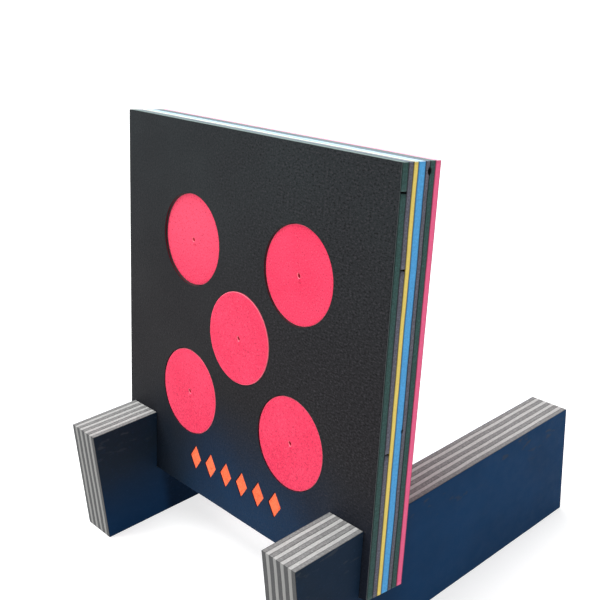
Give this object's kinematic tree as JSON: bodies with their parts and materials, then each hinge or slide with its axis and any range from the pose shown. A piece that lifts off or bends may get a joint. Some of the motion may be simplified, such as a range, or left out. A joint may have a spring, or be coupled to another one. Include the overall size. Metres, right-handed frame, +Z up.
{
  "type": "foam archery target",
  "caption": "Square layered foam archery target with round push-out plugs, leaning back in slotted foam feet.",
  "frame": {"origin": "on the floor, at the middle of the target's width and of the feet's length", "axes": "+Z up; the target's front looks along -Y and leans back 8 degrees; +X is to the right of someone facing the target's front"},
  "size_m": [0.8, 0.795, 0.9152],
  "materials": {
    "charcoal_skin": "moulded foam skin with a fine pebbled grain, satin",
    "dark_green_foam": "cut closed-cell foam, matt",
    "purple_grey_foam": "cut closed-cell foam, matt",
    "yellow_foam": "cut closed-cell foam, matt",
    "blue_foam": "cut closed-cell foam, matt",
    "pink_foam": "closed-cell foam with a soft skin, matt",
    "orange_foam": "closed-cell foam, matt",
    "mid_grey_foam": "cut closed-cell foam, matt",
    "light_grey_foam": "cut closed-cell foam, matt",
    "navy_facing": "thin smooth foam film, satin, slightly wrinkled"
  },
  "bodies": {
    "target": {"front_skin": "charcoal_skin", "front_green_layer_lower": "dark_green_foam", "front_green_layer_upper": "dark_green_foam", "front_grey_layer_lower": "purple_grey_foam", "front_grey_layer_middle": "purple_grey_foam", "front_grey_layer_upper": "purple_grey_foam", "yellow_layer": "yellow_foam", "blue_layer": "blue_foam", "rear_grey_layer": "purple_grey_foam", "rear_green_layer": "dark_green_foam", "rear_pink_layer": "pink_foam", "inlay_1": "orange_foam", "inlay_2": "orange_foam", "inlay_3": "orange_foam", "inlay_4": "orange_foam", "inlay_5": "orange_foam", "inlay_6": "orange_foam"},
    "plug_upper_left": {"plug_upper_left_face": "pink_foam", "plug_upper_left_front_core": "blue_foam", "plug_upper_left_rear_core": "purple_grey_foam", "plug_upper_left_back": "charcoal_skin"},
    "plug_upper_right": {"plug_upper_right_face": "pink_foam", "plug_upper_right_front_core": "blue_foam", "plug_upper_right_rear_core": "purple_grey_foam", "plug_upper_right_back": "charcoal_skin"},
    "plug_centre": {"plug_centre_face": "pink_foam", "plug_centre_front_core": "blue_foam", "plug_centre_rear_core": "purple_grey_foam", "plug_centre_back": "charcoal_skin"},
    "plug_lower_left": {"plug_lower_left_face": "pink_foam", "plug_lower_left_front_core": "blue_foam", "plug_lower_left_rear_core": "purple_grey_foam", "plug_lower_left_back": "charcoal_skin"},
    "plug_lower_right": {"plug_lower_right_face": "pink_foam", "plug_lower_right_front_core": "blue_foam", "plug_lower_right_rear_core": "purple_grey_foam", "plug_lower_right_back": "charcoal_skin"},
    "left_foot": {"left_foot_layer_1": "mid_grey_foam", "left_foot_layer_2": "light_grey_foam", "left_foot_layer_3": "mid_grey_foam", "left_foot_layer_4": "light_grey_foam", "left_foot_layer_5": "mid_grey_foam", "left_foot_layer_6": "light_grey_foam", "left_foot_layer_7": "mid_grey_foam", "left_foot_layer_8": "light_grey_foam", "left_foot_layer_9": "mid_grey_foam", "left_foot_outer_facing": "navy_facing", "left_foot_inner_facing": "navy_facing"},
    "right_foot": {"right_foot_layer_1": "mid_grey_foam", "right_foot_layer_2": "light_grey_foam", "right_foot_layer_3": "mid_grey_foam", "right_foot_layer_4": "light_grey_foam", "right_foot_layer_5": "mid_grey_foam", "right_foot_layer_6": "light_grey_foam", "right_foot_layer_7": "mid_grey_foam", "right_foot_layer_8": "light_grey_foam", "right_foot_layer_9": "mid_grey_foam", "right_foot_outer_facing": "navy_facing", "right_foot_inner_facing": "navy_facing"}
  },
  "joints": [
    {"name": "plug_upper_left_slide", "type": "slide", "parent": "target", "child": "plug_upper_left", "axis": [0, -0.9903, 0.1392], "range_m": [-0.106, 0.106]},
    {"name": "plug_upper_right_slide", "type": "slide", "parent": "target", "child": "plug_upper_right", "axis": [0, -0.9903, 0.1392], "range_m": [-0.106, 0.106]},
    {"name": "plug_centre_slide", "type": "slide", "parent": "target", "child": "plug_centre", "axis": [0, -0.9903, 0.1392], "range_m": [-0.106, 0.106]},
    {"name": "plug_lower_left_slide", "type": "slide", "parent": "target", "child": "plug_lower_left", "axis": [0, -0.9903, 0.1392], "range_m": [-0.106, 0.106]},
    {"name": "plug_lower_right_slide", "type": "slide", "parent": "target", "child": "plug_lower_right", "axis": [0, -0.9903, 0.1392], "range_m": [-0.106, 0.106]},
    {"name": "left_foot_slide", "type": "slide", "parent": "target", "child": "left_foot", "axis": [0, -0.1392, -0.9903], "range_m": [0, 0.145]},
    {"name": "right_foot_slide", "type": "slide", "parent": "target", "child": "right_foot", "axis": [0, -0.1392, -0.9903], "range_m": [0, 0.145]}
  ]
}
